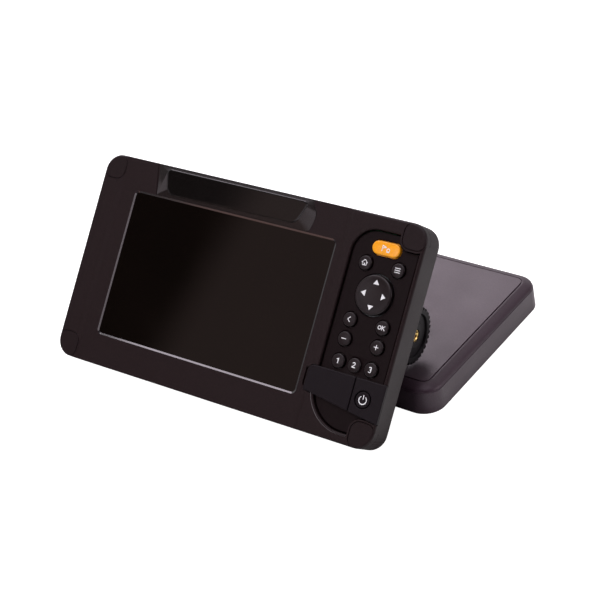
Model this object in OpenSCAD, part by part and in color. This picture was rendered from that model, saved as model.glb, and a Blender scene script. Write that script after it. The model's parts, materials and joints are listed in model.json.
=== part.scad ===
// Chartplotter display for a boat's helm, leaning back on its own sun cover.
// The display is drawn upright in its own frame: X across the front, Y from the front face to the back,
// Z up the front face from its lower edge. lean() then tips the whole display back until its rear
// housing lies over the sun cover. The row's origin is the middle of the footprint, on the bench.

/* [Front bezel] */
// Width of the bezel
body_w = 257; // [230:1:320]
// Height of the bezel
body_h = 145; // [143:1:180]
// Depth of the bezel, front face to back edge
bezel_d = 20; // [17:0.5:24]
// Radius of the bezel's four corners
corner_r = 12; // [10:1:16]
// Rounding of the front edge
front_r = 1.8; // [1:0.2:4]
// Rounding of the back edge, which stands on the bench
back_r = 1.5; // [0.5:0.5:2]
// Thickness of the side walls
wall = 2.6; // [2:0.2:3.4]
// Thickness of the front wall
face_t = 3.2; // [2.8:0.2:4]

/* [Screen] */
// Width of the window
win_w = 162.8; // [130:0.2:166]
// Height of the window
win_h = 100.2; // [80:0.2:104]
// Corner radius of the window
win_r = 2.5; // [1:0.5:6]
// Distance from the bezel's left edge to the window
win_left = 31; // [24:0.5:34]
// Height of the window's lower edge
win_bottom = 22; // [18:0.5:26]
// Thickness of the bezel's lip in front of the glass
lip_t = 1.4; // [1:0.1:1.8]
// Width of the glass hidden behind the lip, on each side
glass_lap = 3.4; // [2:0.2:4]
// Thickness of the cover glass
glass_t = 1.8; // [1.2:0.1:2.4]
// Thickness of the gasket behind the glass
gasket_t = 0.8; // [0.5:0.1:1]
// Thickness of the liquid crystal panel
lcd_t = 2.2; // [1.6:0.1:2.4]
// Thickness of the backlight
backlight_t = 2.2; // [1.6:0.1:2.4]
// Sheet thickness of the metal frame around the panel
frame_t = 0.8; // [0.5:0.1:1]

/* [Name plate] */
// Length of the trim that carries the name plate
trim_w = 131; // [100:1:140]
// Distance from the bezel's left edge to the trim
trim_left = 44.5; // [30:0.5:60]
// Height of the trim's lower edge above the window
trim_rise = 1.2; // [1:0.1:3]
// Depth of the trim's seat in the bezel
trim_t = 1.2; // [0.8:0.1:1.6]
// Length of the blank name plate
plate_w = 117; // [80:1:120]
// Height of the blank name plate
plate_h = 17; // [8:0.2:17]
// Thickness of the blank name plate
plate_t = 0.9; // [0.6:0.1:1]

/* [Keypad] */
// Distance from the bezel's right edge to the pad's centre
pad_right = 26.3; // [25:0.1:30]
// Height of the direction pad's centre
pad_z = 95.1; // [90:0.5:100]
// Radius of the direction pad
pad_r = 12.9; // [10:0.1:13]
// Clear gap around the direction pad
pad_gap = 0.8; // [0.6:0.1:1]
// Radius of a small round key
key_r = 4.6; // [4:0.1:4.8]
// Clear gap around every key
key_gap = 0.6; // [0.5:0.05:0.8]
// Sideways distance from the pad's centre to the outer columns of keys
key_pitch = 11.9; // [11.4:0.1:12]
// Height of the home and menu keys
home_z = 113.6; // [112:0.2:116]
// Height of the back and accept keys
accept_z = 76.6; // [74:0.2:78]
// Height of the zoom keys
zoom_z = 64; // [62:0.2:66]
// Height of the three numbered keys
number_z = 49.6; // [48:0.2:52]
// Height of the waypoint key
waypoint_z = 125; // [124:0.2:126]
// Length of the waypoint key
waypoint_w = 20; // [16:0.5:22]
// Height of the waypoint key's oval
waypoint_h = 8.8; // [7:0.2:9]
// How far a key's crown stands out of the keypad panel
key_proud = 2; // [1.4:0.1:2.4]
// Travel of every key
key_travel = 0.8; // [0.5:0.1:1]
// Recess of the keypad panel behind the bezel's front face
panel_recess = 1.8; // [1.2:0.1:2.4]
// Thickness of the keypad panel
panel_t = 2; // [1.6:0.1:2.4]
// Width of the bezel's rim to the right of the keypad panel
panel_rim = 3; // [2:0.2:4]
// Distance from the bezel's right edge to the keypad panel's left edge
panel_w = 50.4; // [46:0.2:52]
// Height of the keypad panel's upper edge
panel_top = 135.5; // [134:0.1:136.5]
// Height of the keypad panel's lower edge
panel_bottom = 7; // [5:0.5:9]
// Radius of the panel's upper left corner
panel_top_r = 16; // [10:1:18]
// Radius of the panel's lower left corner
panel_low_r = 26; // [16:1:28]

/* [Card door and power key] */
// Height of the door's straight upper edge
door_top = 43; // [41:0.2:43.5]
// Height of the door's lower edge at its left end
door_low_left = 26; // [24:0.5:28]
// Height of the power pad's lower edge at the bezel's right edge
door_low_right = 17.6; // [17.4:0.1:18]
// Distance from the bezel's right edge to the door's left end
door_left = 57.4; // [56:0.2:58]
// How far the finger recess reaches past the door's left end
finger_reach = 1.8; // [1:0.2:2]
// Height of the finger recess
finger_h = 13; // [10:0.5:15]
// Depth of the finger recess
finger_d = 2.4; // [2:0.1:2.6]
// Distance from the bezel's right edge to the door's hinge line
door_hinge = 22.4; // [21:0.2:23]
// Thickness of the door and of the power pad
door_t = 1.7; // [1.2:0.1:1.8]
// Radius of the power key
power_r = 5.2; // [4.5:0.1:5.4]
// Distance from the bezel's right edge to the power key's centre
power_right = 13.9; // [13.5:0.1:14.2]
// Height of the power key's centre
power_z = 30.4; // [30:0.2:31]

/* [Rear housing] */
// Width of the rear housing
tub_w = 212; // [190:1:220]
// Height of the rear housing's underside
tub_bottom = 25; // [23:0.5:28]
// Height of the rear housing's top
tub_top = 126; // [120:0.5:128]
// Depth of the shallow lower part, measured from the front face
tub_step = 33; // [30:0.5:34]
// Depth of the rear housing's back, measured from the front face
tub_back = 58; // [52:0.5:64]
// Thickness of the rear housing's walls
tub_wall = 2.4; // [2:0.2:3]
// Thickness of the flange that closes the bezel
flange_t = 2.4; // [2:0.2:3]
// Thickness of the seal under the flange
seal_t = 0.8; // [0.6:0.1:1.2]
// Gap between the sloping underside and the sun cover that it leans on
slope_gap = 0.4; // [0.3:0.1:2]

/* [Side hubs] */
// Height of the hubs' axis above the bezel's lower edge
hub_z = 77.4; // [74:0.2:82]
// Depth of the hubs' axis behind the front face
hub_y = 45; // [42:0.5:48]
// Outer radius of the toothed disc
hub_r = 19.5; // [16:0.5:20]
// Distance from the bezel's side to the toothed disc's outer face
hub_inset = 12; // [10:0.5:16]
// Thickness of the toothed disc
hub_t = 7; // [5:0.5:8]
// Number of teeth on the disc
hub_teeth = 32; // [24:1:40]
// Height of a tooth
tooth_h = 2; // [1:0.2:2.6]
// Radius of the threaded insert
insert_r = 4.2; // [3.6:0.1:5]
// Radius of the insert's threaded hole
insert_bore = 2.5; // [2:0.1:3]
// Length of the insert
insert_l = 12; // [9:0.5:14]

/* [Corner caps] */
// Side of a corner cap
cap_w = 17; // [15:0.5:17.4]
// Corner radius of a cap
cap_r = 6; // [4:0.5:7]
// Depth of a cap
cap_d = 6; // [5:0.5:8]
// Radius of the mounting screw holes under the caps
mount_hole_r = 2.3; // [2:0.1:3]

/* [Sun cover] */
// Height of the sun cover as it lies on the bench
cover_h = 20.2; // [18:0.2:24]
// Wall thickness of the sun cover
cover_wall = 2.6; // [2.2:0.1:3]
// Clear gap between the cover and the bezel that it fits over
cover_fit = 0.4; // [0.3:0.1:0.8]
// Sideways offset of the cover from the display
cover_x = 10.5; // [0:0.5:30]
// Distance from the bezel's lower edge to the cover's near side, over the bench
cover_near = 62.9; // [60:0.1:70]
// Turn of the cover on the bench
cover_yaw = -1.45; // [-2:0.05:0]
// Rounding of the cover's upper edge
cover_edge_r = 4; // [2:0.5:5]
// How far each cover wall leans in towards the top
cover_draft = 1.2; // [0:0.1:1.4]

/* [Clearances] */
// Gap between fixed pieces that sit inside one another
fit_gap = 0.2; // [0.1:0.05:0.3]
// Height of the hubs above the sun cover
hub_lift = 2.9; // [2:0.1:5]

/* [Hidden] */
$fn = 48;
far = 400;

// The display leans back about its rounded lower back edge until the hubs are hub_lift above the cover.
hub_rise = hub_z - back_r;
hub_reach = hub_y - bezel_d + back_r;
hub_drop = cover_h + hub_lift + hub_r - back_r;
lean_angle = acos(hub_drop / sqrt(pow(hub_rise, 2) + pow(hub_reach, 2))) - atan2(hub_reach, hub_rise);
rest_z = (bezel_d - back_r) * sin(lean_angle) + back_r * (1 - cos(lean_angle));

// Sun cover: outline at the bench, and its middle.
cover_w = body_w + 2 * (cover_fit + cover_wall);
cover_l = body_h + 2 * (cover_fit + cover_wall);
cover_r = corner_r + cover_fit + cover_wall;
cover_y = cover_near * cos(cover_yaw) + cover_l / 2;
cover_half_x = (cover_w / 2 - cover_r) * cos(cover_yaw)
    + (cover_l / 2 - cover_r) * abs(sin(cover_yaw)) + cover_r;
cover_half_y = (cover_w / 2 - cover_r) * abs(sin(cover_yaw))
    + (cover_l / 2 - cover_r) * cos(cover_yaw) + cover_r;

// The footprint runs from the display's left side and lower front edge to the cover's far corner.
front_y = front_r * (cos(lean_angle) + sin(lean_angle) - 1);
middle_x = (cover_x + cover_half_x - body_w / 2) / 2;
middle_y = (cover_y + cover_half_y + front_y) / 2;

// Places across the display, from its middle.
win_x = win_left + win_w / 2 - body_w / 2;
win_z = win_bottom + win_h / 2;
trim_x = trim_left + trim_w / 2 - body_w / 2;
trim_bottom = win_bottom + win_h + trim_rise;
plate_z = (trim_bottom + body_h) / 2;
pad_x = body_w / 2 - pad_right;
power_x = body_w / 2 - power_right;
hinge_x = body_w / 2 - door_hinge;
panel_x0 = body_w / 2 - panel_w;
panel_x1 = body_w / 2 - panel_rim;
cap_x = body_w / 2 - cap_w / 2;
cap_low = cap_w / 2;
cap_high = body_h - cap_w / 2;
hub_face = body_w / 2 - hub_inset;

// Layers behind the front face.
glass_y = lip_t;
gasket_y = glass_y + glass_t;
lcd_y = gasket_y + gasket_t;
backlight_y = lcd_y + lcd_t;
frame_back = backlight_y + backlight_t;
panel_back = panel_recess + panel_t;
flange_y = bezel_d - flange_t;
seal_y = flange_y - seal_t;
ledge_t = 2;
ledge_w = 5;
wall_post = 1.4;
door_front = panel_recess - door_t - fit_gap;

// Keypad layers behind the panel.
flange_lap = 0.4;
flange_key_t = 0.8;
key_back = panel_back + 0.5 + flange_key_t;
mat_y = key_back + key_travel + 0.2;
mat_t = 0.9;
dome_t = 0.4;
board_y = mat_y + mat_t + dome_t;
board_t = 1.2;
post_r = 2.4;
board_bottom = 20;
pad_back = panel_back - 0.2;
rocker_gap = 0.6;

// Card bay behind the door.
bay_w = 21;
bay_h = 11;
bay_gap = 0.5;
bay_x = hinge_x - 13.5;
bay_z = 33;

// Screws: the keypad's posts, the rim of the housing and the main board.
screw_r = 1.2;
screw_head_r = 2.8;
screw_head_t = 1.8;
boss_r = 3.4;
post_spread = 16;
post_rise = 10;
rim_in = 12.5;
side_in = 11.5;
screw_tip = 0.5;
board_screw_l = 10;

// Inside the rear housing.
main_y = 19;
main_t = 1.6;
main_w = 184;
main_bottom = 56;
main_top = 120;
main_back = main_y + main_t;
chip_t = 1.6;
chip_z = 84;

// The screws' bosses start this far inside a wall, so that they join it.
join = 0.5;

// Cutting shapes run this far past the faces that they cut.
over = 1;

// Connectors on the back.
plug_r = 9;
plug_out = 8;
plug_flange_r = 12;
plug_flange_t = 2;
plug_rise = 7;
pin_r = 0.6;
pin_ring = 2.6;
power_plug_x = 30;
sonar_plug_x = -30;
vent_z = 100;
vent_r = 3;

key_places = [[-key_pitch, home_z], [key_pitch, home_z], [-key_pitch, accept_z], [key_pitch, accept_z],
    [-key_pitch, zoom_z], [key_pitch, zoom_z], [-key_pitch, number_z], [0, number_z],
    [key_pitch, number_z]];
post_places = [for (x = [-post_spread, post_spread], z = [pad_z + post_rise, (zoom_z + number_z) / 2])
    [x, z]];
housing_screw_places = concat([for (x = [-85, 0, 62], z = [rim_in, body_h - rim_in]) [x, z]],
    [for (z = [42, 103]) [-body_w / 2 + side_in, z]]);
board_screw_places = [for (x = [-1, 1], z = [main_bottom + 5, main_top - 5]) [x * (main_w / 2 - 6), z]];

pin_places = [for (a = [45 : 90 : 315]) [pin_ring * cos(a), pin_ring * sin(a)]];

// Height on the display at which a point y behind the front face stands rise above the sun cover.
function over_cover(y, rise) = (cover_h + rise + y * sin(lean_angle) - rest_z) / cos(lean_angle);
plug_z = over_cover(tub_back + plug_out, plug_rise) + plug_r;

// ---- frames and shared shapes ----

// Tips the display back over the cover and moves the footprint's middle to the origin.
module lean() {
    translate([-middle_x, -middle_y, rest_z]) rotate([-lean_angle, 0, 0]) children();
}

// Stretches an outline drawn across the front (X, Z) from depth y0 to depth y1.
module layer(y0, y1) {
    translate([0, y1, 0]) rotate([90, 0, 0]) linear_extrude(height = y1 - y0) children();
}

// Rod along the depth.
module rod(x, z, r, y0, y1) {
    translate([x, y0, z]) rotate([-90, 0, 0]) cylinder(r = r, h = y1 - y0);
}

// Rounded rectangle about the origin.
module rounded(w, h, r) {
    square([w - 2 * r, h], center = true);
    square([w, h - 2 * r], center = true);
    for (x = [-1, 1], y = [-1, 1]) translate([x * (w / 2 - r), y * (h / 2 - r)]) circle(r = r);
}

// Rectangle d deep whose front corners are rounded by a and whose back corners by b, in X and depth.
module rounded_section(w, d, a, b) {
    translate([-w / 2 + a, 0]) square([w - 2 * a, d / 2]);
    translate([-w / 2, a]) square([w, d - a - b]);
    translate([-w / 2 + b, d / 2]) square([w - 2 * b, d / 2]);
    for (x = [-1, 1]) translate([x * (w / 2 - a), a]) circle(r = a);
    for (x = [-1, 1]) translate([x * (w / 2 - b), d - b]) circle(r = b);
}

// The bezel's outer skin: rounded outline, rounded front and back edges.
module skin() {
    intersection() {
        layer(0, bezel_d) translate([0, body_h / 2]) rounded(body_w, body_h, corner_r);
        linear_extrude(height = body_h) rounded_section(body_w, bezel_d, front_r, back_r);
        translate([-body_w / 2, 0, body_h / 2]) rotate([90, 0, 90])
            linear_extrude(height = body_w) rotate([0, 0, 90]) mirror([0, 1])
                rounded_section(body_h, bezel_d, front_r, back_r);
    }
}

// Outlines of the four corner caps, grown by g.
module corner_marks(g) {
    for (x = [-1, 1], z = [cap_low, cap_high])
        translate([x * cap_x, z]) rounded(cap_w + 2 * g, cap_w + 2 * g, cap_r + g);
}

// Outline of the inside of the bezel, drawn in by g and clear of the corner posts.
module cavity_outline(g) {
    difference() {
        translate([0, body_h / 2])
            rounded(body_w - 2 * (wall + g), body_h - 2 * (wall + g), max(corner_r - wall - g, 1));
        corner_marks(wall_post + g);
    }
}

// What a corner at the origin loses when it is rounded by r.
module corner_waste(r) {
    difference() {
        translate([-r, -r]) square(2 * r);
        translate([r, r]) circle(r = r);
    }
}

// Outline of the keypad panel, grown by g.
module panel_outline(g) {
    left = panel_x0 - g;
    right = panel_x1 + g;
    low = panel_bottom - g;
    high = panel_top + g;
    difference() {
        translate([left, low]) square([right - left, high - low]);
        translate([left, low]) corner_waste(panel_low_r);
        translate([left, high]) mirror([0, 1]) corner_waste(panel_top_r);
        corner_marks(fit_gap + wall_post - g);
    }
}

// Oval outline about the origin.
module oval(w, h) {
    square([w - h, h], center = true);
    for (x = [-1, 1]) translate([x * (w - h) / 2, 0]) circle(r = h / 2);
}

// Outline of the door and the power pad together, whose lower edge runs down to the right.
module door_outline(g) {
    left = body_w / 2 - door_left - g;
    right = body_w / 2 + g;
    tab_r = 4;
    slope = (door_low_left - door_low_right) / door_left;
    difference() {
        union() {
            translate([left + tab_r, door_low_right - g])
                square([right - left - tab_r, door_top - door_low_right + 2 * g]);
            translate([left, door_low_left]) square([tab_r, door_top - door_low_left + g - tab_r]);
            translate([left + tab_r, door_top + g - tab_r]) circle(r = tab_r);
        }
        polygon([[left - 1, door_low_right - 2 * g - 1], [left - 1, door_low_left - g + slope],
            [right + 1, door_low_right - g - slope], [right + 1, door_low_right - 2 * g - 1]]);
    }
}

// ---- front ----

module key_holes(y0, y1) {
    for (p = key_places) rod(pad_x + p[0], p[1], key_r + key_gap, y0, y1);
    rod(pad_x, pad_z, pad_r + pad_gap, y0, y1);
    layer(y0, y1) translate([pad_x, waypoint_z])
        oval(waypoint_w + 2 * key_gap, waypoint_h + 2 * key_gap);
    rod(power_x, power_z, power_r + key_gap, y0, y1);
}

module front_bezel() {
    color([0.13, 0.11, 0.12]) lean() difference() {
        union() {
            difference() {
                skin();
                layer(face_t, bezel_d + over) cavity_outline(0);
            }
            intersection() {
                skin();
                layer(seal_y - ledge_t, seal_y) difference() {
                    translate([0, body_h / 2]) square([body_w, body_h], center = true);
                    cavity_outline(ledge_w);
                }
            }
            for (p = housing_screw_places) rod(p[0], p[1], boss_r, face_t - join, seal_y);
        }
        layer(-over, face_t + over) translate([win_x, win_z]) rounded(win_w, win_h, win_r);
        layer(lip_t, face_t + over) translate([win_x, win_z])
            rounded(win_w + 2 * (glass_lap + fit_gap), win_h + 2 * (glass_lap + fit_gap), win_r);
        layer(-over, face_t + over) panel_outline(fit_gap);
        layer(-over, trim_t) trim_outline(fit_gap / 2);
        layer(-over, panel_recess) door_outline(fit_gap);
        layer(-over, finger_d) translate([body_w / 2 - door_left, (door_low_left + door_top) / 2])
            rounded(2 * finger_reach, finger_h, finger_reach - 0.1);
        layer(-over, cap_d + fit_gap) corner_marks(fit_gap);
        for (x = [-1, 1], z = [cap_low, cap_high]) rod(x * cap_x, z, mount_hole_r, 0, bezel_d + over);
        for (p = housing_screw_places) rod(p[0], p[1], screw_r, face_t + 1, seal_y + over);
    }
}

module screen_glass() {
    color([0.04, 0.04, 0.05]) lean() layer(glass_y, gasket_y) translate([win_x, win_z])
        rounded(win_w + 2 * glass_lap, win_h + 2 * glass_lap, win_r);
}

module glass_gasket() {
    color([0.08, 0.08, 0.08]) lean() layer(gasket_y, lcd_y) translate([win_x, win_z]) difference() {
        rounded(win_w + 2 * glass_lap, win_h + 2 * glass_lap, win_r);
        square([win_w - 8, win_h - 8], center = true);
    }
}

module lcd_panel() {
    color([0.1, 0.12, 0.16]) lean() layer(lcd_y, backlight_y) translate([win_x, win_z])
        square([win_w - 2, win_h - 2], center = true);
}

module backlight() {
    color([0.9, 0.9, 0.86]) lean() layer(backlight_y, frame_back) translate([win_x, win_z])
        square([win_w - 2, win_h - 2], center = true);
}

module lcd_frame() {
    color([0.7, 0.7, 0.72]) lean() translate([win_x, 0, win_z]) difference() {
        layer(lcd_y, frame_back + frame_t)
            square([win_w - 2 + 2 * frame_t + fit_gap, win_h - 2 + 2 * frame_t + fit_gap], center = true);
        layer(lcd_y - over, frame_back)
            square([win_w - 2 + fit_gap, win_h - 2 + fit_gap], center = true);
    }
}

// Outline of the trim over the window, which runs up to the bezel's top edge.
module trim_outline(g) {
    end_r = 8;
    low = trim_bottom - g;
    translate([trim_x, 0]) {
        translate([-trim_w / 2 - g, low + end_r]) square([trim_w + 2 * g, body_h - low]);
        translate([-trim_w / 2 - g + end_r, low]) square([trim_w + 2 * g - 2 * end_r, end_r]);
        for (x = [-1, 1]) translate([x * (trim_w / 2 + g - end_r), low + end_r]) circle(r = end_r);
    }
}

module badge_trim() {
    color([0.12, 0.09, 0.09]) lean() difference() {
        intersection() {
            skin();
            layer(0, trim_t) trim_outline(0);
        }
        layer(-over, plate_t) translate([trim_x, plate_z])
            rounded(plate_w + fit_gap, plate_h + fit_gap, plate_h / 2 - 1);
    }
}

module badge_plate() {
    color([0.02, 0.02, 0.02]) lean() layer(0, plate_t) translate([trim_x, plate_z])
        rounded(plate_w, plate_h, plate_h / 2 - 1);
}

module keypad_panel() {
    panel_lap = 1.2;
    color([0.11, 0.1, 0.1]) lean() difference() {
        union() {
            layer(panel_recess, panel_back) panel_outline(0);
            layer(face_t + fit_gap, panel_back) intersection() {
                panel_outline(panel_lap);
                cavity_outline(fit_gap);
            }
            for (p = post_places) rod(pad_x + p[0], p[1], post_r, panel_back - join, board_y);
        }
        key_holes(panel_recess - over, panel_back + over);
        layer(panel_recess - over, panel_back + over) translate([bay_x, bay_z])
            square([bay_w, bay_h], center = true);
        for (p = post_places) rod(pad_x + p[0], p[1], screw_r, panel_back, board_y + over);
    }
}

// A round key: domed crown, straight stem and a flange behind the panel.
module round_key(x, z, r) {
    length = key_back - panel_recess + key_proud;
    dome_r = r * 3;
    flat_r = 0.8;
    lean() translate([x, key_back - length, z]) rotate([-90, 0, 0]) rotate_extrude() {
        intersection() {
            square([r, length]);
            translate([flat_r, dome_r]) circle(r = dome_r);
        }
        square([flat_r, length]);
        translate([0, length - flange_key_t]) square([r + key_gap + flange_lap, flange_key_t]);
    }
}

module waypoint_key() {
    crown = panel_recess - key_proud;
    color([0.95, 0.6, 0.05]) lean() {
        layer(crown, key_back) translate([pad_x, waypoint_z]) oval(waypoint_w, waypoint_h);
        layer(key_back - flange_key_t, key_back) translate([pad_x, waypoint_z])
            oval(waypoint_w + 2 * (key_gap + flange_lap), waypoint_h + 2 * (key_gap + flange_lap));
    }
}

module home_key() { color([0.12, 0.11, 0.11]) round_key(pad_x - key_pitch, home_z, key_r); }
module menu_key() { color([0.12, 0.11, 0.11]) round_key(pad_x + key_pitch, home_z, key_r); }
module back_key() { color([0.12, 0.11, 0.11]) round_key(pad_x - key_pitch, accept_z, key_r); }
module accept_key() { color([0.12, 0.11, 0.11]) round_key(pad_x + key_pitch, accept_z, key_r); }
module zoom_out_key() { color([0.12, 0.11, 0.11]) round_key(pad_x - key_pitch, zoom_z, key_r); }
module zoom_in_key() { color([0.12, 0.11, 0.11]) round_key(pad_x + key_pitch, zoom_z, key_r); }
module key_1() { color([0.12, 0.11, 0.11]) round_key(pad_x - key_pitch, number_z, key_r); }
module key_2() { color([0.12, 0.11, 0.11]) round_key(pad_x, number_z, key_r); }
module key_3() { color([0.12, 0.11, 0.11]) round_key(pad_x + key_pitch, number_z, key_r); }

// The pad's rim stands up around a shallow dish, and it rocks on the rocker behind it.
module direction_pad() {
    crown = panel_recess - key_proud - 0.4;
    dish_r = 60;
    dish_depth = 0.9;
    color([0.12, 0.11, 0.11]) lean() difference() {
        rod(pad_x, pad_z, pad_r, crown, pad_back);
        translate([pad_x, crown + dish_depth - dish_r, pad_z]) sphere(r = dish_r, $fn = 120);
    }
}

// Ring behind the pad that it rocks on.
module pad_rocker() {
    rocker_r = 5;
    hole_r = 2.5;
    color([0.6, 0.6, 0.6]) lean() difference() {
        rod(pad_x, pad_z, rocker_r, pad_back + rocker_gap, key_back);
        rod(pad_x, pad_z, hole_r, pad_back, key_back + over);
    }
}

module power_pad() {
    color([0.14, 0.14, 0.17]) lean() difference() {
        intersection() {
            layer(door_front, door_front + door_t) door_outline(0);
            translate([hinge_x + fit_gap, door_front, 0]) cube([body_w / 2 - hinge_x, door_t, body_h]);
        }
        rod(power_x, power_z, power_r + key_gap, door_front - over, panel_back);
    }
}

module power_key() {
    dish_r = 24;
    dish_depth = 0.6;
    color([0.15, 0.15, 0.18]) lean() difference() {
        union() {
            rod(power_x, power_z, power_r, door_front, key_back);
            rod(power_x, power_z, power_r + key_gap + flange_lap, key_back - flange_key_t, key_back);
        }
        translate([power_x, door_front + dish_depth - dish_r, power_z]) sphere(r = dish_r, $fn = 96);
    }
}

// The door swings out about its outer edge beside the power pad; its plug seals the card bay.
module card_door() {
    plug_in = 1.2;
    color([0.14, 0.14, 0.17]) lean() {
        intersection() {
            layer(door_front, door_front + door_t) door_outline(0);
            translate([-far, door_front, 0]) cube([far + hinge_x - fit_gap, door_t, body_h]);
        }
        layer(door_front + door_t, panel_recess + plug_in) translate([bay_x, bay_z])
            square([bay_w - 2 * bay_gap, bay_h - 2 * bay_gap], center = true);
    }
}

module key_mat() {
    color([0.3, 0.3, 0.32]) lean() difference() {
        layer(mat_y, mat_y + mat_t) intersection() {
            panel_outline(-2);
            translate([pad_x, (panel_top + door_top) / 2])
                square([2 * panel_w, panel_top - door_top + 2], center = true);
        }
        for (p = post_places) rod(pad_x + p[0], p[1], post_r + 0.4, mat_y - over, mat_y + mat_t + over);
    }
}

module dome_switches() {
    dome_r = 2.6;
    pad_dome = 8;
    color([0.8, 0.8, 0.8]) lean() {
        for (p = key_places) rod(pad_x + p[0], p[1], dome_r, board_y - dome_t, board_y);
        for (a = [0 : 90 : 270])
            rod(pad_x + pad_dome * cos(a), pad_z + pad_dome * sin(a), dome_r, board_y - dome_t, board_y);
        rod(pad_x, waypoint_z, dome_r, board_y - dome_t, board_y);
    }
}

module key_board() {
    color([0.1, 0.35, 0.2]) lean() difference() {
        layer(board_y, board_y + board_t) intersection() {
            cavity_outline(ledge_w + 1);
            translate([panel_x0 + 1, board_bottom]) square([panel_w, panel_top - board_bottom]);
        }
        for (p = post_places) rod(pad_x + p[0], p[1], screw_r, board_y - over, board_y + board_t + over);
    }
}

module keypad_screws() {
    head_r = 2.2;
    head_t = 0.9;
    color([0.6, 0.6, 0.62]) lean() for (p = post_places) {
        rod(pad_x + p[0], p[1], screw_r, panel_back + screw_tip, board_y + board_t);
        rod(pad_x + p[0], p[1], head_r, board_y + board_t, board_y + board_t + head_t);
    }
}

module card_reader() {
    reader_w = 16;
    reader_h = 14;
    slot_w = 11.4;
    slot_h = 1.2;
    reader_gap = 1.2;
    color([0.75, 0.75, 0.76]) lean() difference() {
        layer(panel_back + reader_gap, board_y) translate([bay_x, bay_z])
            square([reader_w, reader_h], center = true);
        layer(panel_back, board_y - 1) translate([bay_x, bay_z]) square([slot_w, slot_h], center = true);
    }
}

// A cap: a corner of the bezel's skin with a pocket for the mounting screw's head.
module corner_cap(x, z) {
    pocket_r = 4.5;
    pocket_y = 2;
    color([0.14, 0.12, 0.13]) lean() difference() {
        intersection() {
            skin();
            layer(0, cap_d) translate([x, z]) rounded(cap_w, cap_w, cap_r);
        }
        rod(x, z, pocket_r, pocket_y, cap_d + over);
    }
}
module cap_top_left() { corner_cap(-cap_x, cap_high); }
module cap_top_right() { corner_cap(cap_x, cap_high); }
module cap_bottom_left() { corner_cap(-cap_x, cap_low); }
module cap_bottom_right() { corner_cap(cap_x, cap_low); }

// ---- rear ----

// Side view of the rear housing, drawn in by g: shallow below, sloping out over the cover, deep above.
module tub_section(g, y0) {
    slope_shift = slope_gap + g;
    low_chamfer = 3;
    chamfer = 8;
    low = tub_bottom + g;
    high = tub_top - g;
    step = tub_step - g;
    back = tub_back - g;
    high_chamfer = chamfer - 0.6 * g;
    polygon([[y0, low], [step - low_chamfer, low], [step, low + low_chamfer],
        [step, over_cover(step, slope_shift)],
        [back, over_cover(back, slope_shift)], [back, high - high_chamfer], [back - high_chamfer, high],
        [y0, high]]);
}

// The rear housing's outer form drawn in by g, starting at depth y0.
module tub_form(g, y0) {
    round_r = 10 - g;
    intersection() {
        translate([-tub_w / 2 + g, 0, 0]) rotate([90, 0, 90])
            linear_extrude(height = tub_w - 2 * g) tub_section(g, y0);
        translate([0, (tub_back - g) / 2, 0]) linear_extrude(height = body_h)
            rounded(tub_w - 2 * g, tub_back - g, round_r);
    }
}

module hub_rod(side, r, x0, x1) {
    translate([side * x0, hub_y, hub_z]) rotate([0, side * 90, 0]) cylinder(r = r, h = x1 - x0);
}

// The housing closes the bezel with its flange, carries the hubs at its sides and the connectors behind.
module rear_housing() {
    insert_start = hub_face - insert_l;
    hub_boss_r = hub_r - tooth_h - 1.5;
    insert_boss_r = insert_r + 3;
    wall_cut = 6;
    color([0.12, 0.11, 0.12]) lean() difference() {
        union() {
            difference() {
                union() {
                    layer(flange_y, bezel_d) cavity_outline(fit_gap);
                    tub_form(0, flange_y + over);
                    for (s = [-1, 1]) hub_rod(s, hub_boss_r, tub_w / 2 - 4, hub_face - hub_t);
                }
                tub_form(tub_wall, flange_y - over);
            }
            for (s = [-1, 1]) hub_rod(s, insert_boss_r, min(insert_start, tub_w / 2) - 3, hub_face - hub_t);
            intersection() {
                tub_form(tub_wall / 2, flange_y);
                for (p = board_screw_places) rod(p[0], p[1], boss_r, main_back, tub_back);
            }
        }
        for (s = [-1, 1]) hub_rod(s, insert_r, insert_start, hub_face);
        for (p = board_screw_places) rod(p[0], p[1], screw_r, main_y, main_y + board_screw_l + 2);
        for (p = housing_screw_places) rod(p[0], p[1], screw_r + fit_gap, flange_y - over, bezel_d + over);
        for (x = [power_plug_x, sonar_plug_x]) rod(x, plug_z, plug_r, tub_back - wall_cut, tub_back + over);
        rod(0, vent_z, vent_r, tub_back - wall_cut, tub_back + over);
    }
}

module housing_seal() {
    color([0.06, 0.06, 0.06]) lean() layer(seal_y, flange_y) difference() {
        cavity_outline(0.6);
        cavity_outline(ledge_w - 1);
    }
}

module housing_screws() {
    color([0.6, 0.6, 0.62]) lean() for (p = housing_screw_places) {
        rod(p[0], p[1], screw_r, face_t + 1 + screw_tip, bezel_d);
        rod(p[0], p[1], screw_head_r, bezel_d, bezel_d + screw_head_t);
    }
}

module main_board() {
    color([0.1, 0.35, 0.2]) lean() difference() {
        layer(main_y, main_back) translate([0, (main_bottom + main_top) / 2])
            rounded(main_w, main_top - main_bottom, 2);
        for (p = board_screw_places) rod(p[0], p[1], screw_r + fit_gap, main_y - over, main_back + over);
    }
}

module board_screws() {
    color([0.6, 0.6, 0.62]) lean() for (p = board_screw_places) {
        rod(p[0], p[1], screw_r, main_y, main_y + board_screw_l);
        rod(p[0], p[1], screw_head_r, main_y - screw_head_t, main_y);
    }
}

module processor() {
    chip_w = 20;
    color([0.1, 0.1, 0.1]) lean() layer(main_back, main_back + chip_t)
        translate([0, chip_z]) square(chip_w, center = true);
}

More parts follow.
